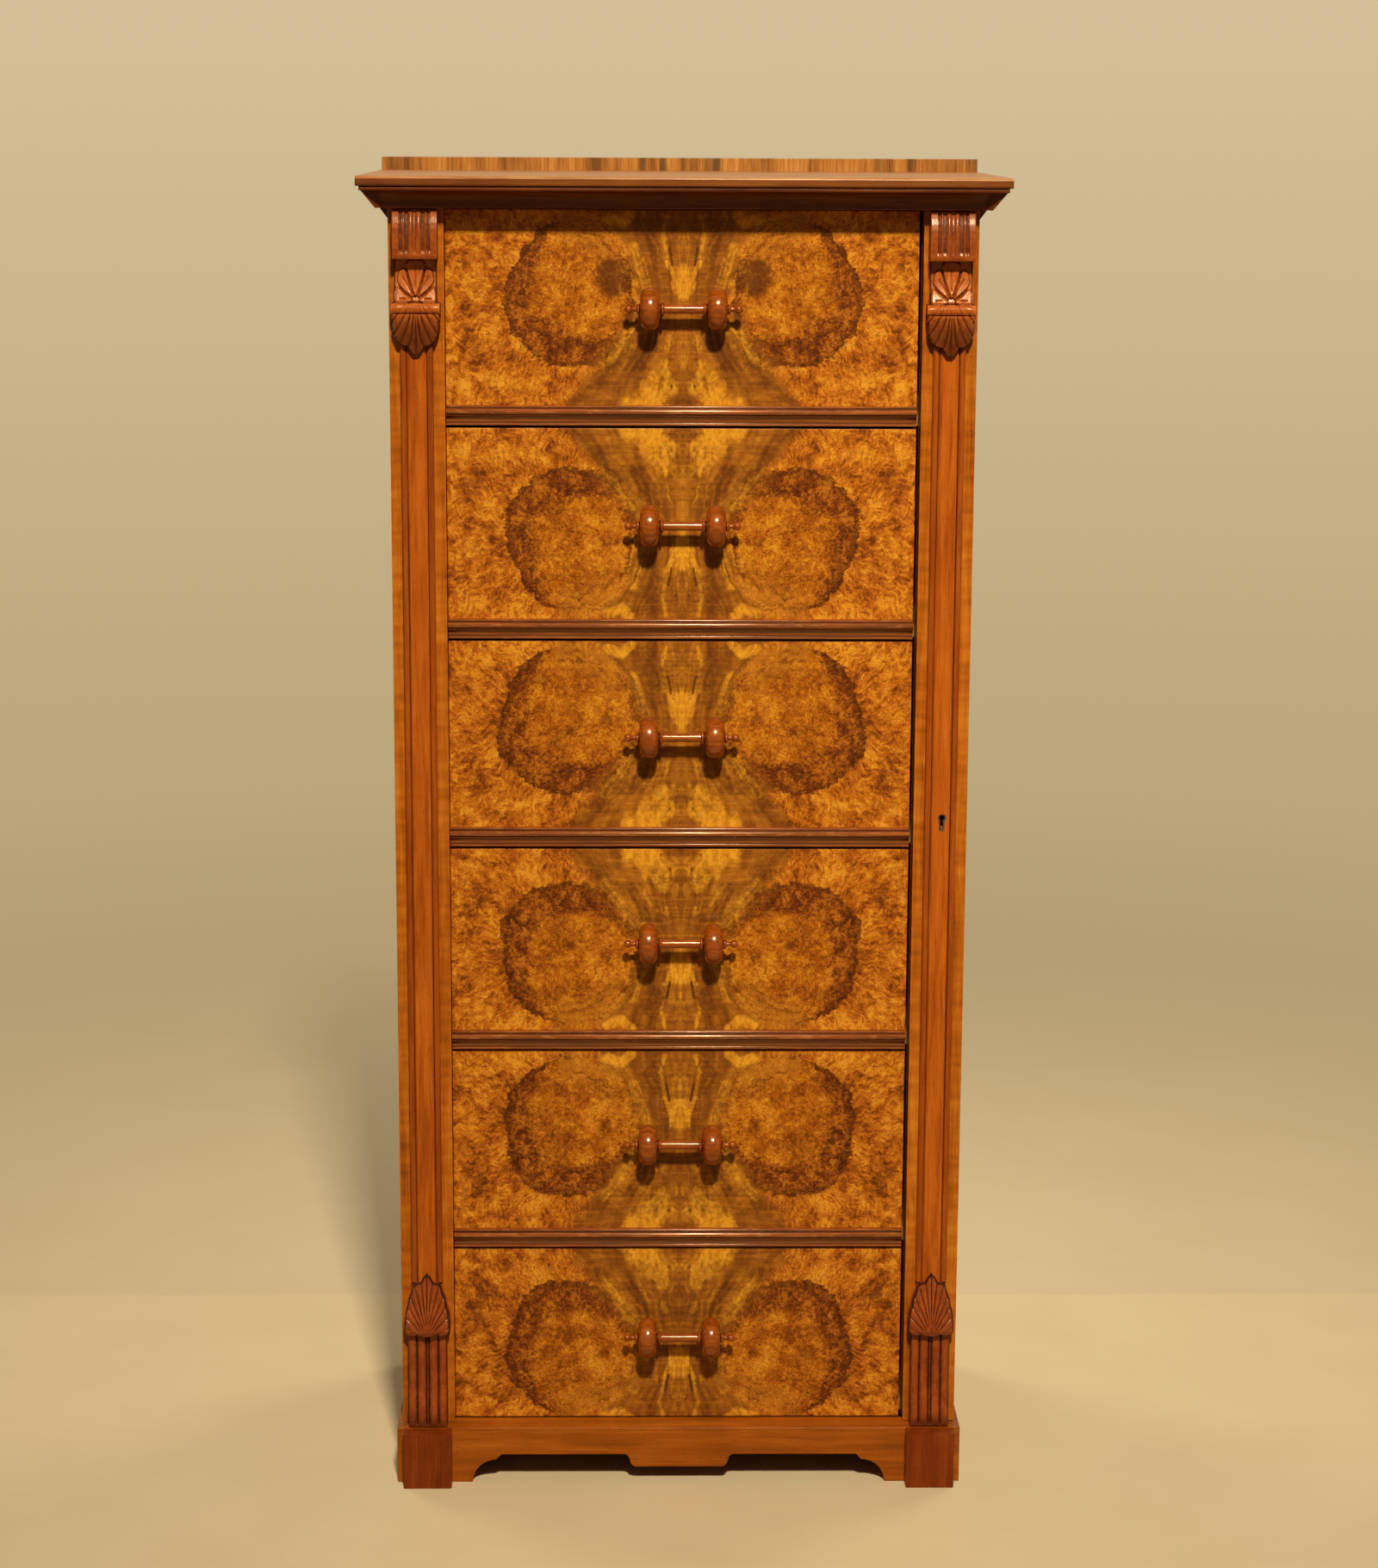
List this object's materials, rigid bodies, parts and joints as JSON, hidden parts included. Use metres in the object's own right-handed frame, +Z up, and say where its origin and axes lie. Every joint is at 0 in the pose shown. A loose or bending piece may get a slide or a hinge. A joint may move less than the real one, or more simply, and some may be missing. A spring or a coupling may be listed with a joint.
{
  "type": "wellington chest",
  "caption": "Tall narrow chest of drawers with turned bar handles, carved capitals and corbels, and a hinged pilaster that locks it.",
  "frame": {"origin": "on the floor, under the middle of the chest's overall width and depth", "axes": "+X to the viewer's right, +Y to the back, +Z up; the drawers face -Y"},
  "size_m": [0.594, 0.35, 1.275],
  "materials": {
    "burr_walnut": "French-polished burr walnut veneer",
    "walnut": "French-polished figured walnut veneer",
    "side_walnut": "French-polished straight-grained walnut",
    "strip_walnut": "French-polished red-brown walnut",
    "dark_walnut": "French-polished dark red-brown walnut",
    "carved_walnut": "polished carved and turned walnut, darker in the hollows",
    "oak": "bare oak, lightly soiled",
    "pine": "bare old pine",
    "steel": "plain steel pins",
    "iron": "dull dark lock plate",
    "brass": "dull brass bolt"
  },
  "bodies": {
    "carcass": {"left_side": "side_walnut", "right_side": "side_walnut", "carcass_top": "pine", "back_boards": "pine", "dust_boards": "pine", "drawer_guides": "pine", "top_board": "walnut", "cornice_front": "dark_walnut", "cornice_returns": "dark_walnut", "back_upstand": "dark_walnut", "left_stile": "walnut", "lock_stile": "pine", "left_strip": "strip_walnut", "left_capital": "carved_walnut", "left_corbel": "carved_walnut", "plinth_front": "dark_walnut", "plinth_sides": "dark_walnut", "plinth_blocks": "dark_walnut", "flap_pivots": "steel"},
    "flap": {"flap_stile": "walnut", "flap_strip": "strip_walnut", "flap_capital": "carved_walnut", "flap_corbel": "carved_walnut", "flap_lock": "iron"},
    "lock_bolt": {"lock_bolt": "brass"},
    "drawer_1": {"drawer_1_front": "burr_walnut", "drawer_1_sides": "oak", "drawer_1_back": "oak", "drawer_1_bottom": "oak", "drawer_1_handle": "carved_walnut", "drawer_1_moulding": "dark_walnut"},
    "drawer_2": {"drawer_2_front": "burr_walnut", "drawer_2_sides": "oak", "drawer_2_back": "oak", "drawer_2_bottom": "oak", "drawer_2_handle": "carved_walnut", "drawer_2_moulding": "dark_walnut"},
    "drawer_3": {"drawer_3_front": "burr_walnut", "drawer_3_sides": "oak", "drawer_3_back": "oak", "drawer_3_bottom": "oak", "drawer_3_handle": "carved_walnut", "drawer_3_moulding": "dark_walnut"},
    "drawer_4": {"drawer_4_front": "burr_walnut", "drawer_4_sides": "oak", "drawer_4_back": "oak", "drawer_4_bottom": "oak", "drawer_4_handle": "carved_walnut", "drawer_4_moulding": "dark_walnut"},
    "drawer_5": {"drawer_5_front": "burr_walnut", "drawer_5_sides": "oak", "drawer_5_back": "oak", "drawer_5_bottom": "oak", "drawer_5_handle": "carved_walnut", "drawer_5_moulding": "dark_walnut"},
    "drawer_6": {"drawer_6_front": "burr_walnut", "drawer_6_sides": "oak", "drawer_6_back": "oak", "drawer_6_bottom": "oak", "drawer_6_handle": "carved_walnut"}
  },
  "joints": [
    {"name": "flap_hinge", "type": "hinge", "parent": "carcass", "child": "flap", "pos_m": [0.261, -0.123, 0.645], "axis": [0, 0, 1], "range_deg": [0, 90]},
    {"name": "lock_bolt_slide", "type": "slide", "parent": "flap", "child": "lock_bolt", "axis": [-1, 0, 0], "range_m": [0, 0.012]},
    {"name": "drawer_1_slide", "type": "slide", "parent": "carcass", "child": "drawer_1", "axis": [0, -1, 0], "range_m": [0, 0.22]},
    {"name": "drawer_2_slide", "type": "slide", "parent": "carcass", "child": "drawer_2", "axis": [0, -1, 0], "range_m": [0, 0.22]},
    {"name": "drawer_3_slide", "type": "slide", "parent": "carcass", "child": "drawer_3", "axis": [0, -1, 0], "range_m": [0, 0.22]},
    {"name": "drawer_4_slide", "type": "slide", "parent": "carcass", "child": "drawer_4", "axis": [0, -1, 0], "range_m": [0, 0.22]},
    {"name": "drawer_5_slide", "type": "slide", "parent": "carcass", "child": "drawer_5", "axis": [0, -1, 0], "range_m": [0, 0.22]},
    {"name": "drawer_6_slide", "type": "slide", "parent": "carcass", "child": "drawer_6", "axis": [0, -1, 0], "range_m": [0, 0.22]}
  ]
}
